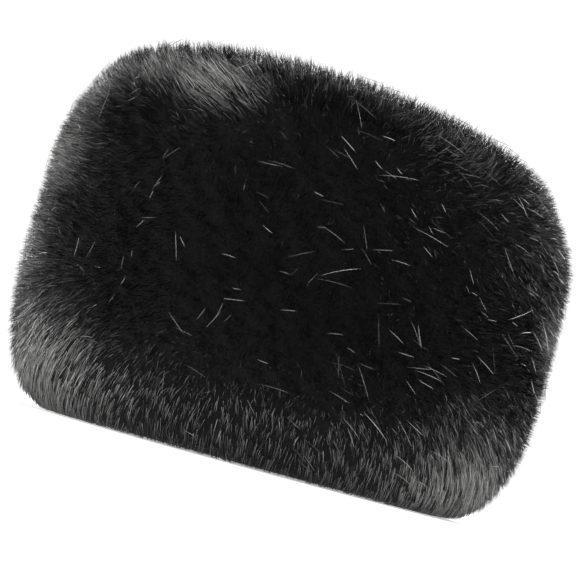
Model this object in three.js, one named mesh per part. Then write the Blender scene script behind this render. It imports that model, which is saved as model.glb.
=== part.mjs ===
// A papakha: a tall oval hat of deep black fur that stands on its rolled rim.
// +Z is up, the wearer faces -Y, and the origin is on the table under the middle of the hat.
// The side wall is one fur band, turned in at the rim. A fur crown closes the top along a
// mitred seam, and a thin lining cup fills the inside. All lengths are in millimetres.

import * as THREE from "three";

// The hollow that takes the head, inside the lining
const HOLLOW_BREADTH = 164;
const HOLLOW_LENGTH = 190;
const HOLLOW_HEIGHT = 127;

// Walls and the small clearances between sewn pieces
const LINING_WALL = 1.2;
const LINING_GAP = 0.3;
const SEAM_GAP = 0.4;
const BACKING_WALL = 3;

// Depth of the pile over its backing
const SIDE_PILE = 38.5;
const CROWN_PILE = 34;
const MOUTH_PILE = 8;

// The rounding where the side wall turns under to the rim
const RIM_IN = 33;
const RIM_HEIGHT = 67;

// The rounding where the side wall turns over to the crown
const SHOULDER_IN = 24;
const SHOULDER_HEIGHT = 55;
const ROUNDING_POWER = 2.2;
const SEAM_SHARE = 0.5;

// The crown lies higher on the wearer's right (-X) than in the middle, and swells a little
const CROWN_SLOPE_RISE = 7.5;
const CROWN_SWELL = 3;

// The fur turned in at the rim, and the ledge on it that the lining stands on
const TURN_IN_HEIGHT = 27;
const MOUTH_HEIGHT = 12;
const LEDGE_WIDTH = 2.5;
const REST_RING_WIDTH = 12;
const LINING_CORNER = 8;

// Locks of fur: how far each tip stands out of the valleys, and how far it hangs
const LOCK_HEIGHT = 7;
const LOCK_HANG = 4.5;
const MOUTH_LOCK_HEIGHT = 3;
const LOCK_RAGGEDNESS = 0.35;
const TABLE_CLEARANCE = 0.6;

// How finely the pieces are divided
const LOCKS_AROUND = 48;
const LOCK_ROWS = 12;
const MOUTH_LOCK_ROWS = 2;
const SHOULDER_LOCK_ROWS = 2;
const PROFILE_STEPS = 48;
const CORNER_STEPS = 4;

const COLUMNS = 2 * LOCKS_AROUND;
const DISC_CELLS = COLUMNS / 4;

// The inner face of the fur band, which every "out" below is measured from
const BAND_HALF_BREADTH = HOLLOW_BREADTH / 2 + LINING_WALL + LINING_GAP;
const BAND_HALF_LENGTH = HOLLOW_LENGTH / 2 + LINING_WALL + LINING_GAP;
const FUR_OUT = BACKING_WALL + SIDE_PILE;
const CROWN_UNDERSIDE = HOLLOW_HEIGHT + LINING_WALL + LINING_GAP;
const CROWN_TOP = CROWN_UNDERSIDE + BACKING_WALL + CROWN_PILE;
const MOUTH_OUT = -(LINING_GAP + LINING_WALL + MOUTH_PILE);
const REST_OUTER = FUR_OUT - RIM_IN;
const REST_INNER = REST_OUTER - REST_RING_WIDTH;
const DISC_OUT = FUR_OUT - SHOULDER_IN;

const black = (roughness, colour) =>
  new THREE.MeshStandardMaterial({ color: colour, roughness, metalness: 0 });

// A repeatable number from 0 to 1 for the lock in one row and column
function ragged(row, column) {
  const mixed = Math.sin(row * 78.233 + column * 12.9898) * 43758.5453;
  return mixed - Math.floor(mixed);
}

const columnAngle = (column) => (2 * Math.PI * column) / COLUMNS;

// The point that lies "out" from the band's inner face, at one angle round the oval
function ovalPoint(angle, out, up) {
  const x = (BAND_HALF_BREADTH + out) * Math.cos(angle);
  const y = (BAND_HALF_LENGTH + out) * Math.sin(angle);
  return new THREE.Vector3(x, y, up);
}

function ovalNormal(angle, out) {
  const x = Math.cos(angle) / (BAND_HALF_BREADTH + out);
  const y = Math.sin(angle) / (BAND_HALF_LENGTH + out);
  return new THREE.Vector3(x, y, 0).normalize();
}

// Raises the fur on the -X side in step with its height, so that the crown slopes
function sloped(point) {
  const across = point.x / (BAND_HALF_BREADTH + FUR_OUT);
  point.z -= CROWN_SLOPE_RISE * across * (point.z / CROWN_TOP);
  return point;
}

// A quarter of a rounded corner: 0 at its inner end and 1 at its outer end
const rounded = (share) => Math.pow(share, 2 / ROUNDING_POWER);

// The shoulder from the crown's disc (turn 0) over to the side wall (turn 1)
function shoulderPoint(turn) {
  const angle = (turn * Math.PI) / 2;
  return new THREE.Vector2(
    DISC_OUT + SHOULDER_IN * rounded(Math.sin(angle)),
    CROWN_TOP - SHOULDER_HEIGHT * (1 - rounded(Math.cos(angle))),
  );
}

// The rim from the side wall (turn 0) under to the ring that rests on the table (turn 1)
function rimPoint(turn) {
  const angle = (turn * Math.PI) / 2;
  return new THREE.Vector2(
    REST_OUTER + RIM_IN * rounded(Math.cos(angle)),
    RIM_HEIGHT * (1 - rounded(Math.sin(angle))),
  );
}

// The fur turned in at the mouth, from the table (turn 0) up to the lining's ledge (turn 1)
function mouthPoint(turn) {
  const angle = turn * Math.PI;
  const below = angle < Math.PI / 2;
  const end = below ? REST_INNER : -LEDGE_WIDTH;
  const reach = below ? MOUTH_HEIGHT : TURN_IN_HEIGHT - MOUTH_HEIGHT;
  return new THREE.Vector2(
    end + (MOUTH_OUT - end) * Math.sin(angle),
    MOUTH_HEIGHT - reach * Math.cos(angle),
  );
}

const steps = (count) => Array.from({ length: count + 1 }, (_, k) => k / count);

// Points evenly spaced along a fine chain of points
function evenly(points, count) {
  const path = new THREE.CurvePath();
  for (let k = 1; k < points.length; k++) {
    path.add(new THREE.LineCurve(points[k - 1], points[k]));
  }
  return path.getSpacedPoints(count);
}

const shoulderFrom = (first, last) =>
  steps(PROFILE_STEPS).map((share) => shoulderPoint(first + (last - first) * share));

const crownShoulder = evenly(shoulderFrom(0, SEAM_SHARE), 2 * SHOULDER_LOCK_ROWS);
const bandSide = evenly(
  [...shoulderFrom(SEAM_SHARE, 1), ...steps(PROFILE_STEPS).map(rimPoint)],
  2 * LOCK_ROWS,
);
const mouthSide = evenly(steps(PROFILE_STEPS).map(mouthPoint), 2 * MOUTH_LOCK_ROWS);

// Lock tips lie on odd rows, on every other column, staggered from one row to the next
const isTip = (row, column) => row % 2 === 1 && (column + (row - 1) / 2) % 2 === 0;

// A closed surface that is put together ring by ring
class Skin {
  constructor() {
    this.places = [];
    this.faces = [];
    this.tips = new Set();
  }

  point(place, tip = false) {
    const index = this.places.length / 3;
    this.places.push(place.x, place.y, place.z);
    if (tip) {
      this.tips.add(index);
    }
    return index;
  }

  ring(placeAt, row = 0) {
    return Array.from({ length: COLUMNS }, (_, column) =>
      this.point(placeAt(column), isTip(row, column)),
    );
  }

  // Four corners make two triangles, with the crease between them running to a lock's tip
  quad(a, b, c, d) {
    if (this.tips.has(b) || this.tips.has(d)) {
      this.faces.push(b, c, d, b, d, a);
    } else {
      this.faces.push(a, b, c, a, c, d);
    }
  }

  // Joins two rings. Rings run down the outside, in under the rim and up the inside.
  bridge(upper, lower) {
    for (let column = 0; column < COLUMNS; column++) {
      const next = (column + 1) % COLUMNS;
      this.quad(upper[column], lower[column], lower[next], upper[next]);
    }
  }

  bridgeAll(rings) {
    for (let k = 1; k < rings.length; k++) {
      this.bridge(rings[k - 1], rings[k]);
    }
  }

  fan(ring, centre, facesUp) {
    for (let column = 0; column < COLUMNS; column++) {
      const next = (column + 1) % COLUMNS;
      const pair = facesUp ? [ring[column], ring[next]] : [ring[next], ring[column]];
      this.faces.push(centre, ...pair);
    }
  }

  geometry() {
    const made = new THREE.BufferGeometry();
    made.setAttribute("position", new THREE.Float32BufferAttribute(this.places, 3));
    made.setIndex(this.faces);
    made.computeVertexNormals();
    return made;
  }
}

// The direction that the pile stands in, square to a profile that runs down or inward
function pileNormal(profile, row, angle) {
  const before = profile[Math.max(row - 1, 0)];
  const after = profile[Math.min(row + 1, profile.length - 1)];
  const along = after.clone().sub(before).normalize();
  const flat = ovalNormal(angle, profile[row].x);
  const normal = flat.clone().multiplyScalar(-along.y).setZ(along.x);
  const hang = flat.clone().multiplyScalar(along.x).setZ(along.y);
  return { normal, hang };
}

// One ring of fur on a profile: tips stand out to the profile, and the rest lies in valleys
function lockRing(skin, profile, row, height, hangLength, seed) {
  return skin.ring((column) => {
    const angle = columnAngle(column);
    const place = sloped(ovalPoint(angle, profile[row].x, profile[row].y));
    const { normal, hang } = pileNormal(profile, row, angle);
    const tip = isTip(row, column);
    const short = LOCK_RAGGEDNESS * ragged(row + seed, column);
    place.addScaledVector(normal, tip ? -height * short : -height);
    if (tip) {
      place.addScaledVector(hang, hangLength * (1 - short));
    }
    place.z = Math.max(place.z, TABLE_CLEARANCE);
    return place;
  }, row);
}

const plainRing = (skin, out, up) =>
  skin.ring((column) => ovalPoint(columnAngle(column), out, up));

// The mitred seam between band and crown, from the shoulder's edge in to the hollow's edge
function seamRing(skin, share, lift) {
  const edge = bandSide[0];
  return skin.ring((column) => {
    const angle = columnAngle(column);
    const outer = sloped(ovalPoint(angle, edge.x, edge.y));
    const { normal } = pileNormal(bandSide, 0, angle);
    outer.addScaledVector(normal, -LOCK_HEIGHT);
    const inner = ovalPoint(angle, 0, CROWN_UNDERSIDE);
    return outer.lerp(inner, share).add(new THREE.Vector3(0, 0, lift));
  });
}

function furBand() {
  const skin = new Skin();
  const rings = [seamRing(skin, 0, -SEAM_GAP)];
  for (let row = 1; row < 2 * LOCK_ROWS; row++) {
    rings.push(lockRing(skin, bandSide, row, LOCK_HEIGHT, LOCK_HANG, 0));
  }
  rings.push(plainRing(skin, REST_OUTER, 0), plainRing(skin, REST_INNER, 0));
  for (let row = 1; row < 2 * MOUTH_LOCK_ROWS; row++) {
    rings.push(lockRing(skin, mouthSide, row, MOUTH_LOCK_HEIGHT, 0, LOCK_ROWS));
  }
  rings.push(plainRing(skin, -LEDGE_WIDTH, TURN_IN_HEIGHT));
  rings.push(plainRing(skin, 0, TURN_IN_HEIGHT));
  rings.push(seamRing(skin, 1, -SEAM_GAP));
  skin.bridgeAll([...rings, rings[0]]);
  return skin.geometry();
}

// The crown's top as a square grid drawn into the oval, so that its locks stay one size
function crownDisc(skin, rim) {
  const half = DISC_CELLS / 2;
  const grid = [];
  for (let i = 0; i <= DISC_CELLS; i++) {
    grid.push([]);
    for (let j = 0; j <= DISC_CELLS; j++) {
      const [a, b] = [i - half, j - half];
      const ringNumber = Math.max(Math.abs(a), Math.abs(b));
      const angle = squareAngle(a, b);
      if (ringNumber === half) {
        const column = Math.round((angle / (2 * Math.PI)) * COLUMNS + COLUMNS) % COLUMNS;
        grid[i].push(rim[column]);
        continue;
      }
      const share = ringNumber / half;
      const x = (BAND_HALF_BREADTH + DISC_OUT) * share * Math.cos(angle);
      const y = (BAND_HALF_LENGTH + DISC_OUT) * share * Math.sin(angle);
      const place = new THREE.Vector3(x, y, CROWN_TOP);
      sloped(place);
      const tip = i % 2 === 1 && j % 2 === 1;
      const short = tip ? LOCK_RAGGEDNESS * ragged(i, j + COLUMNS) : 1;
      place.z += CROWN_SWELL * (1 - share * share) - LOCK_HEIGHT * short;
      grid[i].push(skin.point(place, tip));
    }
  }
  for (let i = 0; i < DISC_CELLS; i++) {
    for (let j = 0; j < DISC_CELLS; j++) {
      skin.quad(grid[i][j], grid[i + 1][j], grid[i + 1][j + 1], grid[i][j + 1]);
    }
  }
}

// The angle round a circle for a point on a square's outline, evenly spaced along each side
function squareAngle(a, b) {
  if (a === 0 && b === 0) {
    return 0;
  }
  if (Math.abs(a) >= Math.abs(b)) {
    return (Math.PI / 4) * (b / a) + (a < 0 ? Math.PI : 0);
  }
  return Math.PI / 2 - (Math.PI / 4) * (a / b) + (b < 0 ? Math.PI : 0);
}

function furCrown() {
  const skin = new Skin();
  const rings = [lockRing(skin, crownShoulder, 0, LOCK_HEIGHT, 0, 0)];
  for (let row = 1; row < 2 * SHOULDER_LOCK_ROWS; row++) {
    rings.push(lockRing(skin, crownShoulder, row, LOCK_HEIGHT, 0, COLUMNS));
  }
  rings.push(seamRing(skin, 0, 0));
  const underside = seamRing(skin, 1, 0);
  rings.push(underside);
  skin.bridgeAll(rings);
  crownDisc(skin, rings[0]);
  const centre = skin.point(new THREE.Vector3(0, 0, CROWN_UNDERSIDE));
  skin.fan(underside, centre, false);
  return skin.geometry();
}

// Rings of the lining from its hem up the wall and round the corner to its flat top
function liningFace(skin, out, top, corner) {
  const rings = [plainRing(skin, out, TURN_IN_HEIGHT + LINING_GAP)];
  for (const turn of steps(CORNER_STEPS)) {
    const angle = (turn * Math.PI) / 2;
    const inward = out - corner * (1 - Math.cos(angle));
    rings.push(plainRing(skin, inward, top - corner * (1 - Math.sin(angle))));
  }
  return { rings, centre: skin.point(new THREE.Vector3(0, 0, top)) };
}

function liningCup() {
  const skin = new Skin();
  const top = CROWN_UNDERSIDE - LINING_GAP;
  const outer = liningFace(skin, -LINING_GAP, top, LINING_CORNER + LINING_WALL);
  const inner = liningFace(skin, -LINING_GAP - LINING_WALL, top - LINING_WALL, LINING_CORNER);
  const down = outer.rings.toReversed();
  skin.fan(down[0], outer.centre, true);
  skin.bridgeAll([...down, ...inner.rings]);
  skin.fan(inner.rings.at(-1), inner.centre, false);
  return skin.geometry();
}

function piece(name, geometry, material) {
  const mesh = new THREE.Mesh(geometry, material);
  mesh.name = name;
  return mesh;
}

const papakha = new THREE.Group();
papakha.name = "papakha";
papakha.add(
  piece("fur_band", furBand(), black(0.75, 0x0b0b0c)),
  piece("fur_crown", furCrown(), black(0.75, 0x0c0c0d)),
  piece("lining", liningCup(), black(0.5, 0x050506)),
);

export default papakha;
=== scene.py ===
# %% [markdown]
# # A papakha of deep black fur
#
# A papakha is a tall, oval fur hat without a brim. This one is long, soft, black pile sewn to a
# backing: a band of it goes round the head and is turned under at the rim, and an oval of it
# closes the crown. What the eye sees is a multitude of glossy black hairs. They look grey where
# they are seen from the side, along the outline, and almost black where they point at the
# viewer.
#
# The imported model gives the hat's true size and place. This lesson dresses it with hair that is
# real geometry, so that the outline is soft and furry from every side.

import bpy
import numpy as np
from mathutils import Matrix, Vector


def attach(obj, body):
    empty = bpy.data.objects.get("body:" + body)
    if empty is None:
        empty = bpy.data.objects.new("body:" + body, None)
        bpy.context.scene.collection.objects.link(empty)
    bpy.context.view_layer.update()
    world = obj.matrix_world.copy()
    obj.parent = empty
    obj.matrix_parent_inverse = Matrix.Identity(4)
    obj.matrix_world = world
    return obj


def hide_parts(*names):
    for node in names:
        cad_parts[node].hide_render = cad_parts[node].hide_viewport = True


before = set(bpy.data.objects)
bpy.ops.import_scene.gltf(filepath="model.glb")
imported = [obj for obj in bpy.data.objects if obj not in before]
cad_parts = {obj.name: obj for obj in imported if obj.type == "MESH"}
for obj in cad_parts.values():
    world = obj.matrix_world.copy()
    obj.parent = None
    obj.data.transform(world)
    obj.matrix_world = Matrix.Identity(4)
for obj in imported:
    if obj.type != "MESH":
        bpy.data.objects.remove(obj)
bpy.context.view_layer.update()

# %% [markdown]
# ## The hat's own sizes
#
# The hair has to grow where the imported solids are, so the sizes that shape them are repeated
# here in metres. "Out" is measured from the inner face of the fur band.

# %% Sizes
MM = 0.001
BAND_HALF_BREADTH = 83.5 * MM
BAND_HALF_LENGTH = 96.5 * MM
FUR_OUT = 41.5 * MM
CROWN_TOP = 165.5 * MM
CROWN_UNDERSIDE = 128.5 * MM
CROWN_SWELL = 3 * MM
CROWN_SLOPE_RISE = 7.5 * MM
SHOULDER_IN = 24 * MM
SHOULDER_HEIGHT = 55 * MM
RIM_IN = 33 * MM
RIM_HEIGHT = 67 * MM
REST_RING_WIDTH = 12 * MM
MOUTH_OUT = -9.5 * MM
MOUTH_HEIGHT = 12 * MM
TURN_IN_HEIGHT = 27 * MM
LEDGE_WIDTH = 2.5 * MM
ROUNDING_POWER = 2.2

DISC_OUT = FUR_OUT - SHOULDER_IN
REST_OUTER = FUR_OUT - RIM_IN
REST_INNER = REST_OUTER - REST_RING_WIDTH

# %% [markdown]
# ## The camera
#
# The hat is seen from the front and a little from below, and tipped over to the right. A camera
# 0.8 m away that looks along +Y and slightly up, from just above the floor, comes nearest to
# that with a hat that stands on its rim. Turning the camera about its own line of sight tips
# the picture.

# %% The camera
VIEW_DISTANCE = 0.8
VIEW_HEIGHT = 8 * MM
VIEW_ROLL = np.radians(15.3)
HAT_WIDTH_IN_PICTURE = 536 / 580
LOOK_AT = Vector((-1 * MM, 0.0, 84 * MM))
# A sensor width in millimetres, as the lens is.
SENSOR_WIDTH = 36

camera_data = bpy.data.cameras.new("camera")
hat_width = 2 * (BAND_HALF_BREADTH + FUR_OUT)
camera_data.sensor_width = SENSOR_WIDTH
camera_data.lens = SENSOR_WIDTH * HAT_WIDTH_IN_PICTURE * VIEW_DISTANCE / hat_width
camera = bpy.data.objects.new("camera", camera_data)
bpy.context.scene.collection.objects.link(camera)
bpy.context.scene.camera = camera

camera.location = (0.0, -VIEW_DISTANCE, VIEW_HEIGHT)
towards = (LOOK_AT - camera.location).to_track_quat("-Z", "Y")
camera.rotation_mode = "QUATERNION"
camera.rotation_quaternion = towards @ Matrix.Rotation(VIEW_ROLL, 3, "Z").to_quaternion()
print(f"lens {camera_data.lens:.0f} mm")

# %% [markdown]
# ## A map of the hat
#
# Think of the fur as skinned off the hat and flattened, crown in the middle: every place on the
# outside, from the crown's centre over the shoulder, down the side, under the rim and into the
# mouth, gets a place on that flat map. Its distance from the middle of the map is the distance
# walked down the hat, and its direction is the direction round the hat.
#
# A third number is the height over the fur's outer surface. Hair, underfur and seams can all be
# drawn on the map, and one function folds them back round the hat.


# %% The outline from the crown's middle to the mouth
# The outline's columns, the shortest step worth keeping, and the least that isn't nothing.
BREADTH, LENGTH, HEIGHT, STAND_OUT, STAND_UP = range(5)
NO_STEP = 1e-9
ALMOST_NONE = 1e-6


def rounded(share):
    """A superellipse's quarter turn, softer than a circle's: the share to the power 2 / 2.2."""
    return np.power(np.clip(share, 0, 1), 2 / ROUNDING_POWER)


def outline(steps=400):
    """The outline as rows of (half breadth, half length, height, stand out, stand up).

    Five stretches follow each other: a gently swollen disc, a rounded shoulder that runs into
    the side, a rounded rim, a flat ring on the table, and a half oval into the mouth. The last
    two columns are the direction in which the pile stands on each.
    """
    share = np.linspace(0, 1, steps)
    turn = share * np.pi / 2
    flat = np.zeros(steps)
    half = rounded(np.sin(turn))
    rest = rounded(np.cos(turn))
    disc = [
        share * (BAND_HALF_BREADTH + DISC_OUT),
        share * (BAND_HALF_LENGTH + DISC_OUT),
        CROWN_TOP + CROWN_SWELL * (1 - share**2),
        flat,
        flat + 1,
    ]

    def round_the_head(out, up, stand_out, stand_up):
        """The columns of a stretch that goes round the head's oval, so far out from it."""
        return [BAND_HALF_BREADTH + out, BAND_HALF_LENGTH + out, up, stand_out, stand_up]

    shoulder = round_the_head(
        DISC_OUT + SHOULDER_IN * half, CROWN_TOP - SHOULDER_HEIGHT * (1 - rest), half, rest
    )
    rim = round_the_head(REST_OUTER + RIM_IN * rest, RIM_HEIGHT * (1 - half), rest, -half)
    ring = round_the_head(
        REST_OUTER + (REST_INNER - REST_OUTER) * share, flat, flat, flat - 1
    )
    under = round_the_head(
        REST_INNER + (MOUTH_OUT - REST_INNER) * np.sin(turn),
        MOUTH_HEIGHT * (1 - np.cos(turn)),
        -np.sin(turn),
        -np.cos(turn),
    )
    over = round_the_head(
        -LEDGE_WIDTH + (MOUTH_OUT + LEDGE_WIDTH) * np.cos(turn),
        MOUTH_HEIGHT + (TURN_IN_HEIGHT - MOUTH_HEIGHT) * np.sin(turn),
        -np.cos(turn),
        np.sin(turn),
    )
    parts = [disc, shoulder, rim, ring, under, over]
    rows = np.concatenate([np.stack(part, axis=1) for part in parts])
    # Stretches share their end rows, so a row that goes nowhere is dropped.
    walked = np.hypot(np.diff(rows[:, BREADTH]), np.diff(rows[:, HEIGHT]))
    rows = rows[np.concatenate([[True], walked > NO_STEP])]
    walked = np.hypot(np.diff(rows[:, BREADTH]), np.diff(rows[:, HEIGHT]))
    return np.concatenate([[0], np.cumsum(walked)]), rows


WALKED, OUTLINE = outline()
stand_out, stand_up = OUTLINE[:, STAND_OUT], OUTLINE[:, STAND_UP]


def walked_to(reached):
    """How far down the hat the first outline row is for which the test given holds."""
    return WALKED[np.argmax(reached)]


AT_SHOULDER = walked_to(stand_out > ALMOST_NONE)
AT_SEAM = walked_to(stand_out > stand_up)
AT_RIM = walked_to(stand_up < -ALMOST_NONE)
AT_RING = walked_to(stand_up < -1 + ALMOST_NONE)
AT_MOUTH = walked_to((stand_out < -ALMOST_NONE) & (stand_up < 0))
AT_LEDGE = WALKED[-1]
print("walk down the hat, mm:", (np.array([AT_SEAM, AT_RIM, AT_RING, AT_LEDGE]) * 1000).round())


# %% Fold the map round the hat
# What lies on the table keeps this little clear of it.
ON_TABLE = 0.3 * MM
# Wear has pressed the shoulder's fur in at both sides, -X and +X: how deep, how far above the
# seam the dent's middle lies, and how far it reaches up and down from there.
SETTLED_LEFT = (7 * MM, 10 * MM, 30 * MM)
SETTLED_RIGHT = (6.5 * MM, 6 * MM, 20 * MM)


def outline_at(walk, column):
    """One column of the outline at a walk, drawn straight between its rows."""
    return np.interp(walk, WALKED, OUTLINE[:, column])


def mean_radius(walk):
    """The mean of the oval's two half axes at a walk."""
    return (outline_at(walk, BREADTH) + outline_at(walk, LENGTH)) / 2


def on_hat(place, height):
    """The point over a place on the map, at a height over the fur's outer surface.

    The walk is the place's distance from the map's middle, and gives the oval's half axes and
    its height, each moved along the pile's direction. The angle round the oval is the place's
    own. First, wear takes height off at the shoulder, in a bell down the hat that grows with
    the squared cosine towards the sides. Last, the crown's slope lifts the -X side in step
    with its height, and whatever would reach into the table is pressed flat on it and out by
    as much.
    """
    walk = np.hypot(place[..., 0], place[..., 1])
    angle = np.arctan2(place[..., 1], place[..., 0])
    depth, above_seam, reach = (
        np.where(np.cos(angle) < 0, *sides) for sides in zip(SETTLED_LEFT, SETTLED_RIGHT)
    )
    pressed = depth * np.cos(angle) ** 2
    from_middle = walk - AT_SEAM + above_seam
    height = height - pressed * np.exp(-((from_middle / reach) ** 2))
    out = height * outline_at(walk, STAND_OUT)
    z = outline_at(walk, HEIGHT) + height * outline_at(walk, STAND_UP)
    out = out + np.maximum(ON_TABLE - z, 0) * (outline_at(walk, STAND_OUT) > 0)
    x = (outline_at(walk, BREADTH) + out) * np.cos(angle)
    y = (outline_at(walk, LENGTH) + out) * np.sin(angle)
    z = z - CROWN_SLOPE_RISE * x / (BAND_HALF_BREADTH + FUR_OUT) * z / CROWN_TOP
    return np.stack([x, y, np.maximum(z, ON_TABLE)], axis=-1)


# %% Move and scatter places on the map
def shifted(place, down, around):
    """The place reached by going a real distance down the hat and a real distance round it."""
    walk = np.maximum(np.hypot(place[..., 0], place[..., 1]), ALMOST_NONE)
    outward = place / walk[..., None]
    sideways = np.stack([-outward[..., 1], outward[..., 0]], axis=-1)
    radius = np.maximum(mean_radius(walk), ALMOST_NONE)
    stretch = (around * walk / radius)[..., None]
    return place + outward * down[..., None] + sideways * stretch


# The plastic number's two fractions: steps of both spread points evenly over a square.
STEP_ROUND, STEP_DOWN = 0.7548776662466927, 0.5698402909980532


def scattered(count, start, end, turn=0.0):
    """Places spread evenly over the fur between two walks, and never bunched.

    Counting up in two steady fractions gives two numbers between 0 and 1. One becomes the
    angle, and the other a share of the fur's area, looked up as a walk. The area is the sum of
    the radii over even steps of the walk.
    """
    number = np.arange(count) + 0.5
    angle = 2 * np.pi * (np.mod(number * STEP_ROUND, 1) + turn)
    share = np.mod(number * STEP_DOWN, 1)
    walks = np.linspace(start, end, 600)
    area = np.cumsum(mean_radius(walks))
    walk = np.interp(share * (area[-1] - area[0]) + area[0], area, walks)
    return np.stack([walk * np.cos(angle), walk * np.sin(angle)], axis=-1)


# %% [markdown]
# ## Putting arrays into a mesh
#
# A hundred thousand hairs are far too many to add one by one, so a mesh is filled straight from
# arrays. Each hair also gets a place on a small picture: across it runs the hair's own shade,
# and up it the way from root to tip. The materials read that picture's coordinates, so no
# two neighbouring hairs need look alike.


# %% Fill a mesh from arrays
def linear(hex_colour):
    """An sRGB hex colour as the linear RGBA that shaders use."""
    value = np.array([int(hex_colour[i : i + 2], 16) / 255 for i in (1, 3, 5)])
    low, high = value / 12.92, ((value + 0.055) / 1.055) ** 2.4
    return (*np.where(value <= 0.04045, low, high), 1.0)


def make_piece(name, points, faces, material, picture=None, smooth=True):
    """A mesh from points (n, 3) and faces (m, 3 or 4), with a picture place for each corner."""
    mesh = bpy.data.meshes.new(name)
    sides = faces.shape[1]
    mesh.vertices.add(len(points))
    mesh.vertices.foreach_set("co", points.astype(np.float32).ravel())
    mesh.loops.add(faces.size)
    mesh.loops.foreach_set("vertex_index", faces.astype(np.int32).ravel())
    mesh.polygons.add(len(faces))
    mesh.polygons.foreach_set("loop_start", np.arange(len(faces), dtype=np.int32) * sides)
    mesh.polygons.foreach_set("use_smooth", np.full(len(faces), smooth))
    if picture is not None:
        layer = mesh.uv_layers.new(name="OFBake")
        layer.uv.foreach_set("vector", picture.astype(np.float32).ravel())
    mesh.update(calc_edges=True)
    mesh.materials.append(material)
    piece = bpy.data.objects.new(name, mesh)
    bpy.context.scene.collection.objects.link(piece)
    print(f"{name}: {len(faces) * (sides - 2)} triangles")
    return piece


# %% [markdown]
# ## Materials
#
# The pile is modacrylic, a smooth round fibre that is dyed black before it is spun. It
# throws a narrow, bright glint along each hair and is otherwise almost without colour. Its IOR is
# about 1.5. Hairs differ a little in how black they are. The tips are drawn a bit darker, as
# painted shade, so that a hair seen end-on looks black.


# %% One helper adds a node
def add_node(tree, kind, settings=None, links=None):
    """Adds a node of a kind, sets its properties or sockets by name, and links its inputs."""
    node = tree.nodes.new(kind)
    for name, value in (settings or {}).items():
        if isinstance(name, str) and hasattr(node, name):
            setattr(node, name, value)
        else:
            node.inputs[name].default_value = value
    for name, socket in (links or {}).items():
        tree.links.new(socket, node.inputs[name])
    return node


def new_material(name):
    """An empty node material, with its output node."""
    material = bpy.data.materials.new(name)
    material.use_nodes = True
    material.node_tree.nodes.clear()
    output = add_node(material.node_tree, "ShaderNodeOutputMaterial")
    return material, material.node_tree, output


def set_ramp(node, stops):
    """Fills a colour ramp with (place, hex colour) stops."""
    ramp = node.color_ramp
    while len(ramp.elements) < len(stops):
        ramp.elements.new(0.5)
    for element, (place, colour) in zip(ramp.elements, stops):
        element.position = place
        element.color = linear(colour)


# %% The fibre's material
def fibre_material(name, shades, tips, roughness):
    """Modacrylic fibre: each hair's shade, blended into its tip's shade along its length."""
    material, tree, output = new_material(name)
    picture = add_node(tree, "ShaderNodeUVMap", {"uv_map": "OFBake"})
    parts = add_node(
        tree, "ShaderNodeSeparateXYZ", links={"Vector": picture.outputs["UV"]}
    )
    shade = add_node(tree, "ShaderNodeValToRGB", links={"Fac": parts.outputs["X"]})
    set_ramp(shade, shades)
    tip = add_node(tree, "ShaderNodeValToRGB", links={"Fac": parts.outputs["X"]})
    set_ramp(tip, tips)
    colour = add_node(
        tree,
        "ShaderNodeMix",
        {"data_type": "RGBA"},
        {0: parts.outputs["Y"], 6: shade.outputs["Color"], 7: tip.outputs["Color"]},
    )
    shader = add_node(
        tree,
        "ShaderNodeBsdfPrincipled",
        {"Roughness": roughness, "IOR": 1.5},
        {"Base Color": colour.outputs[2]},
    )
    tree.links.new(shader.outputs["BSDF"], output.inputs["Surface"])
    return material


# Plain hairs have their shade in the lower 0.6 of the ramp, which is near black. Above it is
# painted glint: the grey of a share of the hairs where the fur is combed over, and over the rim.
black_pile = fibre_material(
    "black modacrylic pile",
    [(0.0, "#040404"), (0.5, "#0c0c0d"), (0.7, "#2c2b2b"), (0.97, "#b0b0ae")],
    # The tips' ramp is darker than the shades': painted shade, so that hairs seen end-on look
    # black.
    [(0.0, "#030303"), (0.5, "#070707"), (0.7, "#161616"), (0.97, "#888886")],
    0.3,
)
# A guard hair that took no dye: grey, and paler where it thins out.
pale_hair = fibre_material(
    "undyed guard hair",
    [(0.0, "#202020"), (1.0, "#8a8a88")],
    [(0.0, "#343434"), (1.0, "#c4c4c2")],
    0.35,
)

# %% [markdown]
# ## The underfur
#
# Under the long hair lies short, dense, black underfur on its backing. It is never seen by
# itself, only as the dark between hairs, so one lumpy closed skin does for it. It keeps the
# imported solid's form a little further in, with the same flat ring under the rim and the same
# inner face.

# %% Underfur material
# Short modacrylic staple, matted on its backing: it scatters light and has no gloss. Its
# tufts are about 1.5 mm across.
TUFT = 1.5 * MM
underfur, tree, output = new_material("black underfur")
coordinates = add_node(tree, "ShaderNodeTexCoord")
tufts = add_node(
    tree,
    "ShaderNodeTexNoise",
    {"Scale": 1 / TUFT, "Detail": 3.0},
    {"Vector": coordinates.outputs["Object"]},
)
shade = add_node(tree, "ShaderNodeValToRGB", links={"Fac": tufts.outputs["Fac"]})
set_ramp(shade, [(0.35, "#020202"), (0.7, "#0a0a0a")])
bump = add_node(
    tree,
    "ShaderNodeBump",
    {"Strength": 0.8, "Distance": 1.0 * MM},
    {"Height": tufts.outputs["Fac"]},
)
shader = add_node(
    tree,
    "ShaderNodeBsdfPrincipled",
    {"Roughness": 0.9, "Specular IOR Level": 0.2},
    {"Base Color": shade.outputs["Color"], "Normal": bump.outputs["Normal"]},
)
tree.links.new(shader.outputs["BSDF"], output.inputs["Surface"])

# %% Rings of places, and lumps
UNDERFUR_DEPTH = 6.5 * MM
SEAM_GAP = 0.1 * MM
LUMP_SIZE, LUMP_HEIGHT = 21 * MM, 1.2 * MM
AROUND = 192


def ring_places(walk, columns=AROUND):
    """Rows of map places at each walk, evenly round the hat."""
    angle = np.arange(columns) * 2 * np.pi / columns
    circle = np.stack([np.cos(angle), np.sin(angle)], axis=-1)
    return walk[:, None, None] * circle[None]


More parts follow.
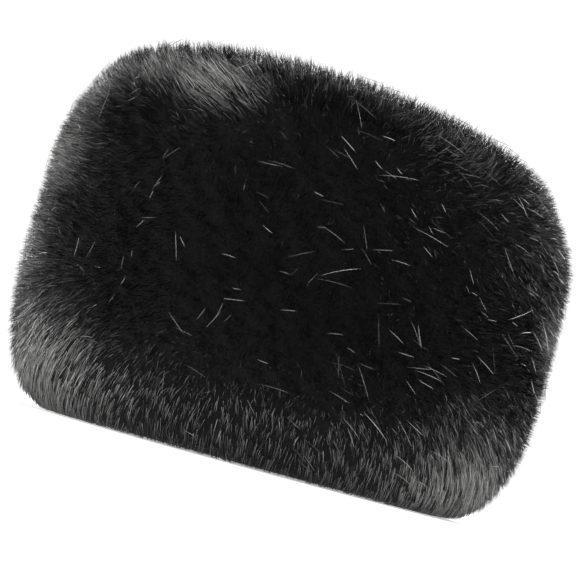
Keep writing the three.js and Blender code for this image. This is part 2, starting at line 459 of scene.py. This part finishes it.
def lumps(place, size, height):
    """Soft lumps: three slow waves across the map, at odd angles to each other."""
    wave = np.zeros(place.shape[:-1])
    for turn, share in ((0.3, 1.0), (1.5, 1.31), (2.6, 0.83)):
        along = place[..., 0] * np.cos(turn) + place[..., 1] * np.sin(turn)
        wave += np.sin(2 * np.pi * along / (size * share) + 4 * turn)
    return height * wave / 3


# %% The mitred seam
def mitre(share, lift):
    """The seam's slanting face from the shoulder in to the lining's corner, as rings of points."""
    edge = on_hat(ring_places(np.array([AT_SEAM])), np.array([[-UNDERFUR_DEPTH]]))[0]
    angle = np.arange(AROUND) * 2 * np.pi / AROUND
    corner = np.stack(
        [
            BAND_HALF_BREADTH * np.cos(angle),
            BAND_HALF_LENGTH * np.sin(angle),
            np.full(AROUND, CROWN_UNDERSIDE),
        ],
        axis=-1,
    )
    rows = edge[None] * (1 - share[:, None, None]) + corner[None] * share[:, None, None]
    return rows + np.array([0, 0, lift])


# %% Faces between rings
def tube_faces(rows, columns, closed):
    """Quads between rows of points. The last row joins the first if the tube is closed."""
    row, column = np.meshgrid(
        np.arange(rows if closed else rows - 1), np.arange(columns), indexing="ij"
    )
    below, beside = (row + 1) % rows, (column + 1) % columns
    corners = [row * columns + column, below * columns + column]
    corners += [below * columns + beside, row * columns + beside]
    return np.stack(corners, axis=-1).reshape(-1, 4)


def split_quads(quads):
    """Each quad as two triangles, cut along the diagonal from its first corner."""
    return np.concatenate([quads[:, [0, 1, 2]], quads[:, [0, 2, 3]]])


# %% The band's underfur
def band_underfur():
    """The band as a tube round a closed outline: down the outside, in at the rim, up inside."""
    walks = np.concatenate(
        [
            np.linspace(AT_SEAM, AT_RING, 44),
            np.linspace(AT_RING, AT_MOUTH, 5)[1:],
            np.linspace(AT_MOUTH, AT_LEDGE, 9)[1:],
        ]
    )
    place = ring_places(walks)
    deep = np.interp(
        walks,
        [AT_SEAM, AT_RIM, AT_RING, AT_MOUTH, AT_LEDGE],
        [UNDERFUR_DEPTH, UNDERFUR_DEPTH, 1 * MM, 2 * MM, 0.4 * MM],
    )[:, None]
    calm = np.interp(walks, [AT_SEAM, AT_SEAM + 8 * MM, AT_RIM, AT_RING], [0, 1, 1, 0])
    outside = on_hat(place, lumps(place, LUMP_SIZE, LUMP_HEIGHT) * calm[:, None] - deep)
    inside = mitre(np.array([1.0, 0.5]), -SEAM_GAP)
    points = np.concatenate([outside, inside])
    points[0] -= np.array([0, 0, SEAM_GAP])
    faces = tube_faces(len(points), AROUND, closed=True)
    return points.reshape(-1, 3), split_quads(faces)


# %% The crown's underfur
def crown_underfur():
    """The crown as rings from its middle over the shoulder, in along the seam and underneath."""
    walks = np.linspace(AT_SEAM / 30, AT_SEAM, 30)
    place = ring_places(walks)
    calm = np.interp(walks, [AT_SEAM - 8 * MM, AT_SEAM], [1, 0])
    top = on_hat(place, lumps(place, LUMP_SIZE, LUMP_HEIGHT) * calm[:, None] - UNDERFUR_DEPTH)
    below = mitre(np.array([0.5, 1.0]), 0.0)
    halfway_in = (np.array([0, 0, CROWN_UNDERSIDE]) + below[-1:]) / 2
    points = np.concatenate([top, below, halfway_in]).reshape(-1, 3)
    rows = len(points) // AROUND
    faces = split_quads(tube_faces(rows, AROUND, closed=False))
    poles = np.array([on_hat(np.zeros(2), -UNDERFUR_DEPTH), [0, 0, CROWN_UNDERSIDE]])
    column = np.arange(AROUND)
    beside = (column + 1) % AROUND
    first, last = np.full(AROUND, rows * AROUND), (rows - 1) * AROUND
    cap = np.stack([first, column, beside], axis=-1)
    base = np.stack([first + 1, last + beside, last + column], axis=-1)
    return np.concatenate([points, poles]), np.concatenate([faces, cap, base])


# %% Put the underfur on
for node, shape in (("fur_band", band_underfur), ("fur_crown", crown_underfur)):
    piece = make_piece(f"{node}_underfur", *shape(), underfur)
    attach(piece, "root")
    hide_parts(node)

# %% [markdown]
# ## One hair, and then many
#
# A hair is a thin spindle: a root point, one or more rings of three points, and a tip point.
# Its middle line is drawn on the map, from the underfur up to its tip, and leans over as it
# rises. All hairs of a piece are computed at once, as an array of hairs by steps.
#
# Blender's own hair curves are easier to comb, but they aren't solid, so each hair here is a small
# closed mesh. These hairs leave Blender together with the hat, so each one is a small closed mesh.
#
# Three sides are enough for something half a pixel wide. In the pile they stay flat, and each
# hair is turned by another angle, so that neighbours catch the light from different lamps. A
# few coarse hairs and the stitches have more rings and are shaded smooth.


# %% Spindles
HAIR_SIDES = 3
GOLDEN_TURN = 0.618034
# A hair's strip on the picture is 1.6% wide, and all strips stay a little inside its edges.
STRIP_STEP, STRIP_SPAN, EDGE, STRIP_HEIGHT = 0.008, 0.96, 0.01, 0.98
TINY = 1e-12


def spindle_faces(hairs, rings):
    """Triangles of every spindle: a cone at the root, bands between rings, a cone at the tip."""
    side = np.arange(HAIR_SIDES)
    beside = (side + 1) % HAIR_SIDES
    tip = 1 + rings * HAIR_SIDES
    parts = [np.stack([0 * side, 1 + beside, 1 + side], axis=-1)]
    for ring in range(rings - 1):
        low, high = 1 + ring * HAIR_SIDES, 1 + (ring + 1) * HAIR_SIDES
        parts.append(np.stack([low + side, low + beside, high + beside], axis=-1))
        parts.append(np.stack([low + side, high + beside, high + side], axis=-1))
    last = 1 + (rings - 1) * HAIR_SIDES
    parts.append(np.stack([last + side, last + beside, 0 * side + tip], axis=-1))
    one = np.concatenate(parts)
    start = np.arange(hairs) * (tip + 1)
    return (one[None] + start[:, None, None]).reshape(-1, 3), one, tip + 1


def spindles(line, radius, shade):
    """Hairs round middle lines (hairs, steps, 3), with a radius for each ring between the ends.

    Every ring lies square to the line between its neighbours. The three points stand at equal
    angles on it, turned by the golden fraction more for each hair, so each hair glints its own
    way. In the picture, a hair is a narrow strip at its shade, root to tip upwards.
    """
    hairs, steps = line.shape[:2]
    rings = steps - 2
    along = line[:, 2:] - line[:, :-2]
    along /= np.linalg.norm(along, axis=-1, keepdims=True) + TINY
    # Any direction serves to find one across the hair, as long as the hair doesn't run along it.
    helper = np.where(np.abs(along[..., 2:3]) < 0.8, [0.0, 0.0, 1.0], [1.0, 0.0, 0.0])
    across = np.cross(along, helper)
    across /= np.linalg.norm(across, axis=-1, keepdims=True) + TINY
    square = np.cross(along, across)
    turn = np.arange(HAIR_SIDES) / HAIR_SIDES + np.arange(hairs)[:, None] * GOLDEN_TURN
    turn = 2 * np.pi * turn[:, None, :, None]
    circle = across[:, :, None] * np.cos(turn) + square[:, :, None] * np.sin(turn)
    width = np.asarray(radius)[..., None, None] * np.ones((hairs, rings, 1, 1))
    rim = (line[:, 1:-1, None] + circle * width).reshape(hairs, -1, 3)
    points = np.concatenate([line[:, :1], rim, line[:, -1:]], axis=1)
    faces, one, size = spindle_faces(hairs, rings)
    rise = np.concatenate([[0], np.repeat(np.linspace(0, 1, steps)[1:-1], HAIR_SIDES), [1]])
    strip = np.concatenate([[1], np.tile(np.arange(HAIR_SIDES), rings), [1]]) * STRIP_STEP
    picture = np.stack(
        [
            EDGE + STRIP_SPAN * shade[:, None, None] + strip[one][None],
            np.broadcast_to(EDGE + STRIP_HEIGHT * rise[one][None], (hairs, *one.shape)),
        ],
        axis=-1,
    )
    return points.reshape(-1, 3), faces, picture.reshape(-1, 2)


# %% [markdown]
# ## Combing
#
# Long pile gathers in locks. Neighbouring hairs share one direction and close up towards their
# tips. So locks are scattered over the map first, each with its own lean. Every lock
# then gets its hairs, spread about its middle at the root and closer together at the tip.
#
# Where a comb or a hand has laid the pile over, hairs lie across the view and glint grey. The
# glint of a hair half a pixel wide is partly lost in a render, so it is painted: a share of the
# hairs there is given a paler colour, and the larger the share, the paler they get.


# %% The way the pile lies
# The combed patches: direction round the hat in degrees, walk in mm below the seam, size in mm,
# lean of the tips down the hat and round it in mm, and share of hairs given a painted glint. The
# front is at -90.
COMBED_PATCHES_WITH_PAINTED_GLINT = [
    (-115, 4, 15, -8, -15, 1.0),
    (-134, -4, 12, -7, -9, 0.72),
    (-156, 4, 17, -6, -6, 0.75),
    (-158, 44, 20, -5, -9, 0.67),
    (-164, 86, 20, -1, -9, 0.6),
    (-143, 128, 27, 10, -8, 0.67),
    (-39, 129, 26, 9, 9, 0.57),
    (-33, 12, 38, 0, 3, 0.3),
    (-18, 56, 12, 4, 8, 0.38),
    (-66, -8, 20, -4, 4, 0.32),
    (-103, -21, 12, -2, -2, 0.55),
    (-84, -21, 11, -2, 0, 0.4),
    (60, 6, 24, -4, 8, 0.42),
    (34, 62, 22, 2, -12, 0.32),
    (30, 122, 27, 10, -8, 0.48),
    (150, 118, 29, 9, 8, 0.48),
    (128, 20, 20, -8, -11, 0.32),
]
# How much longer a patch is round the hat than down it.
PATCH_LENGTH = 1.6


def combed_lean_and_painted_glint(place):
    """What the patches add at each place: lean down, lean round, and share of painted glint.

    Each patch fades like a bell: e to the minus square of the way from its middle over its size.
    """
    added = np.zeros((*place.shape[:-1], 3))
    for turn, below, size, *more in COMBED_PATCHES_WITH_PAINTED_GLINT:
        walk = AT_SEAM + below * MM
        outward = np.array([np.cos(np.radians(turn)), np.sin(np.radians(turn))])
        off = place - walk * outward
        across = off @ np.array([-outward[1], outward[0]])
        around = across * mean_radius(walk) / walk / PATCH_LENGTH
        near = np.exp(-((off @ outward) ** 2 + around**2) / (size * MM) ** 2)
        added += near[..., None] * np.array(more)
    return added


# Everywhere, looked up along the walk: lean down the hat in mm, lean towards the two sides in
# mm, and share of hairs with a painted glint, a grey sheen, in the belt over the rim.
LEAN_AT = [
    0,
    AT_SHOULDER - 50 * MM,
    AT_SEAM,
    AT_SEAM + 20 * MM,
    AT_RIM,
    AT_RIM + 32 * MM,
    AT_RING - 14 * MM,
    AT_RING,
]
LEAN_DOWN = [0, 0, 4, 4, 0, 0, 9, 4]
SIDEWAYS_AT = [0, AT_SHOULDER, AT_RIM, AT_RING]
LEAN_SIDEWAYS = [1, -2, -2.5, 2]
BELT_AT = [AT_RIM + 20 * MM, AT_RING - 32 * MM, AT_RING]
BELT_PAINTED_GLINT = [0, 0.6, 0.38]
# Broad and short waves in the lean down the hat and round it, each with its length and height.
WAVES_DOWN = [(80 * MM, 2.0 * MM), (23 * MM, 1.2 * MM)]
WAVES_ROUND = [(90 * MM, 2.0 * MM), (27 * MM, 1.2 * MM)]


def lie_of(place):
    """How far the pile's tips lean down the hat and round it over each place, and the painted
    glint.

    The lean down and the lean sideways are looked up by the walk. The sideways one swings with
    the sine of twice the angle, so it is strongest at the oval's four corners. Slow waves make
    the pile wander, and the comb adds its patches.
    """
    walk = np.hypot(place[..., 0], place[..., 1])
    angle = np.arctan2(place[..., 1], place[..., 0])
    down = np.interp(walk, LEAN_AT, LEAN_DOWN) * MM
    sideways = np.interp(walk, SIDEWAYS_AT, LEAN_SIDEWAYS) * MM
    added = combed_lean_and_painted_glint(place)
    painted_glint_share = added[..., 2] + np.interp(walk, BELT_AT, BELT_PAINTED_GLINT)
    down = down + added[..., 0] * MM
    around = -sideways * np.sin(2 * angle) + added[..., 1] * MM
    down += sum(lumps(place, *wave) for wave in WAVES_DOWN)
    around += sum(lumps(-place, *wave) for wave in WAVES_ROUND)
    return down, around, painted_glint_share


# %% Locks of hair
HAIRS_IN_LOCK = 5
LOCK_SPREAD = 1.5 * MM
LOCK_GATHER = 0.55
LOCK_STRAY = 1.1 * MM
LOCK_RISE = 0.4 * MM
HAIR_STRAY = 0.7 * MM
# A hair has its root, one ring two thirds of the way up, and its tip.
HAIR_STEPS = np.array([0, 0.66, 1])
BEND_POWER = 1.4
# In the last 20 mm to the table, hairs differ less in reach and locks more, and all of them
# reach up to 1 mm further out.
TABLE_ZONE = 20 * MM
TABLE_EVENS = 0.5
TABLE_LIFTS = 1.0 * MM


def lock_lines(chance, hairs, start, end, depth, reach):
    """Middle lines of hairs in locks, as (hairs, steps, 3), and each hair's chance of painted
    glint.

    A hair starts at its lock's middle plus a scatter, at the underfur's depth. Its tip is at
    its lock's middle plus the pile's lie plus a little of that scatter, at its own reach over
    the surface. In between, the lean grows with a power of the way, so a hair first stands up
    and then bends over. By the table the locks reach a little further and are more uneven.
    """
    locks = hairs // HAIRS_IN_LOCK
    middle = scattered(locks, start, end, chance.uniform())
    down, around, painted_glint_share = lie_of(middle)
    down = down + chance.normal(0, LOCK_STRAY, locks)
    around = around + chance.normal(0, LOCK_STRAY, locks)
    rise = chance.normal(0, LOCK_RISE, locks)
    middle, down, around, painted_glint_share, rise = (
        np.repeat(value, HAIRS_IN_LOCK, axis=0) for value in (middle, down, around, painted_glint_share, rise)
    )
    hairs = len(middle)
    scatter = chance.normal(0, LOCK_SPREAD, (2, hairs))
    own = chance.normal(0, HAIR_STRAY, (2, hairs))
    by_table = np.interp(np.hypot(*middle.T), [AT_RING - TABLE_ZONE, AT_RING], [0, 1])
    top = chance.uniform(*reach, hairs) * (1 - TABLE_EVENS * by_table)
    top += rise * (1 + by_table) + TABLE_LIFTS * by_table
    way = HAIR_STEPS
    bend = way**BEND_POWER
    close = 1 - LOCK_GATHER * way
    go_down = scatter[0][:, None] * close + (down + own[0])[:, None] * bend
    go_round = scatter[1][:, None] * close + (around + own[1])[:, None] * bend
    place = shifted(middle[:, None], go_down, go_round)
    return on_hat(place, -depth + (top[:, None] + depth) * way), painted_glint_share


# %% Long black pile
# Places on the shade ramp: where plain hairs end, where hairs with a painted glint start, and how
# far up from there they go, of which they get this share at least.
PLAIN_END, PLAIN_POWER = 0.6, 2.4
GLINT_START, GLINT_RANGE, GLINT_LEAST = 0.7, 0.3, 0.3


def grow(name, seed, hairs, start, end, reach, radius, depth=UNDERFUR_DEPTH + 1.0 * MM):
    """One piece of locks between two walks, riding with the hat.

    A plain hair's shade is a chance to a power, so most are near black. A hair with a painted
    glint gets a chance over the rest of the ramp, or over the lower part of it where few hairs get
    it. A hair is up to a quarter thinner or thicker than the rest, and paler ones are thicker.
    """
    chance = np.random.default_rng(seed)
    line, painted_glint_share = lock_lines(chance, hairs, start, end, depth, reach)
    shade = PLAIN_END * chance.uniform(0, 1, len(line)) ** PLAIN_POWER
    glints = chance.uniform(0, 1, len(line)) < painted_glint_share
    brightest = GLINT_RANGE * np.clip(painted_glint_share, GLINT_LEAST, 1)
    glint = GLINT_START + brightest * chance.uniform(0, 1, len(line))
    shade = np.where(glints, glint, shade)
    width = (radius * chance.uniform(0.75, 1.25, len(line)) * (0.9 + 0.5 * shade))[:, None]
    points, faces, picture = spindles(line, width, shade)
    piece = make_piece(name, points, faces, black_pile, picture, smooth=False)
    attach(piece, "root")
    return piece


# %% Grow the pile
# Real fibres are roughly 0.05 mm thick, and there are far more of them. A hair here stands for
# several, so it is drawn thicker, the long ones at half a pixel. These are half thicknesses.
LONG = 0.115 * MM
SHORT = 0.17 * MM
# How far over the fur's outer surface the tips of long and of short hairs reach.
OVER = (-2.0 * MM, 1.4 * MM)
UNDER = (-4 * MM, -1.2 * MM)
# The band's pile is made in three pieces between these walks, so that none is too large to
# export. The crown's and the band's overlap at the seam, and hide it.
side = np.linspace(AT_SEAM, AT_RING, 4)
OVERLAP = 2 * MM

grow("crown_pile", 11, 26000, 0, side[0] + OVERLAP, OVER, LONG)
grow("band_pile_upper", 12, 26000, side[0] - OVERLAP, side[1], OVER, LONG)
grow("band_pile_middle", 13, 26000, side[1], side[2], OVER, LONG)
grow("band_pile_lower", 14, 26000, side[2], side[3], OVER, LONG)
grow("rim_pile", 15, 5400, AT_RING, AT_LEDGE, (-1 * MM, 2 * MM), LONG, depth=4 * MM)
grow("crown_underpile", 16, 11700, 0, side[0] + OVERLAP, UNDER, SHORT)
grow("band_underpile", 17, 24300, side[0] - OVERLAP, AT_RING, UNDER, SHORT)

# %% [markdown]
# ## Pale guard hairs
#
# Here and there a coarse, undyed hair lies on top of the pile and catches the light. They are
# few, so each can have a smooth curve. They lie nearly flat, in small groups that share a
# direction. One half of the front, and of the back, has more of them, longer ones, and better
# aligned.

# %% Groups of guard hairs
GROUPS, IN_GROUP = 680, 2
GROUP_SCATTER, GUARD_SCATTER = 9 * MM, 5 * MM
CLEAR_OF_ENDS = 15 * MM
# On the calm half and on the bushy half: direction on the map in degrees from straight down the
# hat, its spread in degrees, and the length in mm that a hair may have over the shortest.
CALM, BUSHY = (125, 36, 12), (67, 18, 18)
SHORTEST = 3

chance = np.random.default_rng(21)
middle = scattered(GROUPS, CLEAR_OF_ENDS, AT_RING - CLEAR_OF_ENDS, 0.37)
middle = shifted(middle, *chance.normal(0, GROUP_SCATTER, (2, GROUPS)))
angle = np.arctan2(middle[:, 1], middle[:, 0])
# Chance keeps 95% of the groups in the middle of a bushy half, and 29% in that of a calm half.
kept = chance.uniform(0, 1, GROUPS) < 0.62 + 0.33 * np.cos(2 * (angle + np.radians(45)))
middle, angle = middle[kept], angle[kept]
calm_side = np.sin(2 * angle) > 0
turn, spread, longest = (np.where(calm_side, *halves) for halves in zip(CALM, BUSHY))
turn = np.radians(turn + spread * chance.normal(0, 1, len(middle)))

# %% Guard hairs
GUARD_TURN = 0.25
GUARD_CURL = 0.8 * MM
GUARD_RADIUS = np.array([0.09, 0.12, 0.12, 0.09]) * MM

middle, turn, longest = (
    np.repeat(value, IN_GROUP, axis=0) for value in (middle, turn, longest)
)
guards = len(middle)
middle = shifted(middle, *chance.normal(0, GUARD_SCATTER, (2, guards)))
turn = turn + chance.normal(0, GUARD_TURN, guards)
size = (SHORTEST + longest * chance.beta(1.2, 1.8, guards)) * MM
# Each middle line runs straight along its turn, bowed sideways by a shallow parabola, and
# may rise a little from one end to the other.
way = np.linspace(-0.5, 0.5, 6)
curl = chance.normal(0, GUARD_CURL, (guards, 1)) * (way**2 - 0.1)
place = shifted(
    middle[:, None],
    (size * np.cos(turn))[:, None] * way + curl * np.sin(turn)[:, None],
    (size * np.sin(turn))[:, None] * way - curl * np.cos(turn)[:, None],
)
rise = chance.uniform(-1.4, 0.6, (guards, 1)) + chance.uniform(0, 2.4, (guards, 1)) * way
line = on_hat(place, rise * MM)
width = GUARD_RADIUS * chance.uniform(0.6, 1.2, (guards, 1))
points, faces, picture = spindles(line, width, chance.uniform(0, 1, guards) ** 1.5)
guard = make_piece("guard_hairs", points, faces, pale_hair, picture)
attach(guard, "root")
print("guard hairs:", guards)

# %% [markdown]
# ## The lining
#
# Inside, a cup of black satin takes the head: an oval wall and a flat top, joined by a seam
# with soft gathers. Its hem is felled to the fur that is turned in at the mouth. It could be a
# cloth simulation, but it is sewn tight to the backing, so it is a cup of two skins worked
# out from its outline, with the gathers drawn on the inner one.

# %% Satin
LINING_HALF_BREADTH = 83.2 * MM
LINING_HALF_LENGTH = 96.2 * MM
LINING_WALL = 1.2 * MM
LINING_CORNER = 8 * MM
HEM_HEIGHT = 27.3 * MM
LINING_TOP = 128.2 * MM


def woven(name, colour, scale, roughness):
    """A cloth of crossing threads: two waves on its own picture, across and up, multiplied."""
    material, tree, output = new_material(name)
    picture = add_node(tree, "ShaderNodeUVMap", {"uv_map": "OFBake"})
    warp, weft = (
        add_node(
            tree,
            "ShaderNodeTexWave",
            {"bands_direction": way, "Scale": scale, "Distortion": 0.4},
            {"Vector": picture.outputs["UV"]},
        )
        for way in ("X", "Y")
    )
    height = add_node(
        tree,
        "ShaderNodeMath",
        {"operation": "MULTIPLY"},
        {0: warp.outputs["Fac"], 1: weft.outputs["Fac"]},
    )
    bump = add_node(
        tree,
        "ShaderNodeBump",
        {"Strength": 0.4, "Distance": 0.2 * MM},
        {"Height": height.outputs["Value"]},
    )
    shade = add_node(tree, "ShaderNodeValToRGB", links={"Fac": height.outputs["Value"]})
    set_ramp(shade, [(0.0, colour[0]), (1.0, colour[1])])
    shader = add_node(
        tree,
        "ShaderNodeBsdfPrincipled",
        {"Roughness": roughness, "IOR": 1.45, "Sheen Weight": 0.2, "Sheen Roughness": 0.4},
        {"Base Color": shade.outputs["Color"], "Normal": bump.outputs["Normal"]},
    )
    tree.links.new(shader.outputs["BSDF"], output.inputs["Surface"])
    return material


# Polyester satin: its threads float over several others, which gives it a soft sheen. Real
# threads are about 0.1 mm apart. They are drawn coarser, so that they show: a wave repeats
# every 0.314 / scale of the picture, here 2.3 mm round the cup and 0.8 mm up it.
SATIN_SCALE = 1 / 0.0126
satin = woven("black lining satin", ("#060607", "#0e0e10"), SATIN_SCALE, 0.45)


# %% The cup's skins
GATHERS = 1.0 * MM
HEM_GATHERED, SEAM_GATHERED = 9 * MM, 14 * MM


def cup_outline(wall, corner):
    """A wall's outline from hem to middle: how far in from the oval, height, share to the middle.

    It goes straight up, turns a quarter circle at the corner and runs flat to the middle.
    """
    turn = np.linspace(0, np.pi / 2, 6)
    rise = np.linspace(HEM_HEIGHT, LINING_TOP - wall - corner, 12)[:-1]
    flat = np.linspace(0, 1, 9)[1:-1]
    inward = np.concatenate([0 * rise, corner * (1 - np.cos(turn)), 0 * flat + corner]) + wall
    height = np.concatenate(
        [rise, LINING_TOP - wall - corner * (1 - np.sin(turn)), 0 * flat + LINING_TOP - wall]
    )
    shrink = np.concatenate([0 * rise, 0 * turn, flat])
    return inward, height, shrink


def cup_skin(wall, corner, columns, gathers):
    """Rings of points of one skin. Gathers push it inwards near the hem and the top seam.

    The gathers are 46 waves round the cup, made uneven by two slower ones in their angle. They
    fade like a bell from the hem and from the top seam.
    """
    inward, height, shrink = cup_outline(wall, corner)
    angle = np.arange(columns) * 2 * np.pi / columns
    near_hem = np.exp(-(((height - HEM_HEIGHT) / HEM_GATHERED) ** 2))
    near_seam = np.exp(-(((height - LINING_TOP + corner) / SEAM_GATHERED) ** 2))
    near_seam = near_seam * (shrink < 0.01)
    folds = 0.5 + 0.5 * np.sin(46 * angle + 1.7 * np.sin(5 * angle) + 0.9 * np.sin(11 * angle))
    pull = gathers * (0.6 * near_hem + near_seam)[:, None] * folds
    in_by = inward[:, None] + pull
    size = 1 - shrink[:, None]
    return np.stack(
        [
            (LINING_HALF_BREADTH - in_by) * size * np.cos(angle),
            (LINING_HALF_LENGTH - in_by) * size * np.sin(angle),
            np.broadcast_to(height[:, None], (len(height), columns)),
        ],
        axis=-1,
    )


# %% The cup's points, faces and picture
def lining_cup(columns=150):
    """Two skins joined at the hem, each closed by a point in the middle of the top."""
    outer = cup_skin(0, LINING_CORNER, columns, 0)
    inner = cup_skin(LINING_WALL, LINING_CORNER - LINING_WALL, columns, GATHERS)
    rows = np.concatenate([outer[::-1], inner])
    poles = np.array([[0, 0, LINING_TOP], [0, 0, LINING_TOP - LINING_WALL]])
    points = np.concatenate([rows.reshape(-1, 3), poles])
    faces = split_quads(tube_faces(len(rows), columns, closed=False))
    column = np.arange(columns)
    beside = (column + 1) % columns
    first = np.full(columns, len(rows) * columns)
    last = (len(rows) - 1) * columns
    cap = np.stack([first, column, beside], axis=-1)
    base = np.stack([first + 1, last + beside, last + column], axis=-1)
    faces = np.concatenate([faces, cap, base])
    return points, faces, cup_picture(points, faces, len(rows), columns)


def cup_picture(points, faces, rows, columns):
    """Where each corner lies on the cup's picture, kept a little inside the picture's edges.

    It goes once round across, and up by height and then by the way to the middle. A face that
    crosses the join keeps going past 1, and a pole lies between its two neighbours.
    """
    around = np.concatenate([np.tile(np.arange(columns) / columns, rows), [0.5, 0.5]])
    reach = np.hypot(points[:, 0] / LINING_HALF_BREADTH, points[:, 1] / LINING_HALF_LENGTH)
    up = (points[:, 2] - HEM_HEIGHT) / (LINING_TOP - HEM_HEIGHT) * 0.5 + 0.5 * (1 - reach)
    across, up = around[faces], up[faces]
    across += (np.ptp(across, axis=1) > 0.6)[:, None] & (across < 0.3)
    beside_pole = (np.roll(across, 1, axis=1) + np.roll(across, 2, axis=1)) / 2
    across = np.where(faces >= rows * columns, beside_pole, across)
    return np.stack([across, up], axis=-1).reshape(-1, 2) * 0.95 + [0.01, 0.02]


# %% The lining
points, faces, picture = lining_cup()
lining = make_piece("lining_satin", points, faces, satin, picture)
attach(lining, "root")
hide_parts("lining")

# %% [markdown]
# The hem is caught down with slanting stitches of black thread, about 5 mm apart. A stitch
# stands proud of the satin in its middle and dips into it at both ends.

# %% Hem stitches
STITCHES = 108
STITCH_LENGTH, STITCH_RISE = 2.2 * MM, 2.4 * MM
STITCH_PROUD, STITCH_DIP = 0.35 * MM, 1.2 * MM
OVER_HEM = 2.2 * MM
THREAD_RADIUS = 0.28 * MM

angle = np.arange(STITCHES) * 2 * np.pi / STITCHES
way = np.linspace(-0.5, 0.5, 5)[None]
slant = angle[:, None] + way * STITCH_LENGTH / LINING_HALF_LENGTH
inward = LINING_WALL + STITCH_PROUD - STITCH_DIP * (2 * way) ** 4
line = np.stack(
    [
        (LINING_HALF_BREADTH - inward) * np.cos(slant),
        (LINING_HALF_LENGTH - inward) * np.sin(slant),
        HEM_HEIGHT + OVER_HEM + way * STITCH_RISE + 0 * slant,
    ],
    axis=-1,
)
thread_shade = 0.2 + 0.3 * np.cos(angle) ** 2
points, faces, picture = spindles(line, np.full((STITCHES, 3), THREAD_RADIUS), thread_shade)
stitches = make_piece("hem_stitches", points, faces, black_pile, picture)
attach(stitches, "root")

# %% [markdown]
# ## Floor and light
#
# A pale floor, and six large soft lamps. Black fur is seen by what its hairs mirror. The three
# lamps behind the hat draw its edge in grey, those at the left, in front and at the upper
# right bring out the combed fur, and nothing shines straight at the front, which stays dark.
# The surroundings look white to the camera but throw little light, for the same reason.

# %% Floor
FLOOR_HALF = 4.0
corners = [(x * FLOOR_HALF, y * FLOOR_HALF, 0) for x, y in ((-1, -1), (1, -1), (1, 1), (-1, 1))]
floor_mesh = bpy.data.meshes.new("floor")
floor_mesh.from_pydata(corners, [], [(0, 1, 2, 3)])
floor = bpy.data.objects.new("floor", floor_mesh)
bpy.context.scene.collection.objects.link(floor)
glowing_paper, tree, output = new_material("matt white paper")
# Matt paper, a little off white, with painted light: it glows, though it is no lamp. It glows
# more away from the hat, so that it stays white right to its far edge, and less near the hat,
# which paints a soft shade where the hat stands, on top of the lamps' shadow.
coordinates = add_node(tree, "ShaderNodeTexCoord")
away = add_node(
    tree, "ShaderNodeVectorMath", {"operation": "LENGTH"}, {0: coordinates.outputs["Object"]}
)
glow = add_node(
    tree,
    "ShaderNodeMapRange",
    {"From Min": 0.15, "From Max": 0.45, "To Min": 0.52, "To Max": 1.0},
    {"Value": away.outputs["Value"]},
)
shader = add_node(
    tree,
    "ShaderNodeBsdfPrincipled",
    {"Base Color": linear("#f4f4f4"), "Roughness": 0.9, "Emission Color": (1, 1, 1, 1)},
    {"Emission Strength": glow.outputs["Result"]},
)
tree.links.new(shader.outputs["BSDF"], output.inputs["Surface"])
floor_mesh.materials.append(glowing_paper)
print("floor:", 2 * FLOOR_HALF, "m wide")

# %% Lamps
LAMP_DISTANCE = 1.7
LAMP_SIZE = 0.9
# Name, direction from the middle of the hat, and power in watts.
LAMPS = [
    ("left rear lamp", (-0.8, 0.6, 0.15), 30),
    ("right rear lamp", (0.8, 0.6, 0.15), 17),
    ("top rear lamp", (0.0, 0.72, 0.7), 32),
    ("left lamp", (-0.8, -0.6, 0.2), 15),
    ("top front lamp", (0.0, -0.72, 0.7), 11),
    ("upper right lamp", (0.62, 0.1, 0.78), 27),
]


def soft_lamp(name, direction, power):
    """A square lamp that faces the middle of the hat."""
    data = bpy.data.lights.new(name, "AREA")
    data.shape, data.size, data.energy = "SQUARE", LAMP_SIZE, power
    lamp = bpy.data.objects.new(name, data)
    lamp.location = LOOK_AT + LAMP_DISTANCE * Vector(direction)
    lamp.rotation_mode = "QUATERNION"
    lamp.rotation_quaternion = (LOOK_AT - lamp.location).to_track_quat("-Z", "Y")
    bpy.context.scene.collection.objects.link(lamp)


for lamp in LAMPS:
    soft_lamp(*lamp)
print("lamps:", len(LAMPS))

# %% Surroundings
world = bpy.data.worlds.new("surroundings")
world.use_nodes = True
bpy.context.scene.world = world
tree = world.node_tree
tree.nodes.clear()
path = add_node(tree, "ShaderNodeLightPath")
seen = add_node(tree, "ShaderNodeBackground", {"Color": (1, 1, 1, 1), "Strength": 1.05})
lit = add_node(tree, "ShaderNodeBackground", {"Color": (1, 1, 1, 1), "Strength": 0.1})
mixed = add_node(
    tree,
    "ShaderNodeMixShader",
    links={0: path.outputs["Is Camera Ray"], 1: lit.outputs[0], 2: seen.outputs[0]},
)
add_node(tree, "ShaderNodeOutputWorld", links={"Surface": mixed.outputs[0]})
bpy.context.scene.view_settings.view_transform = "Standard"
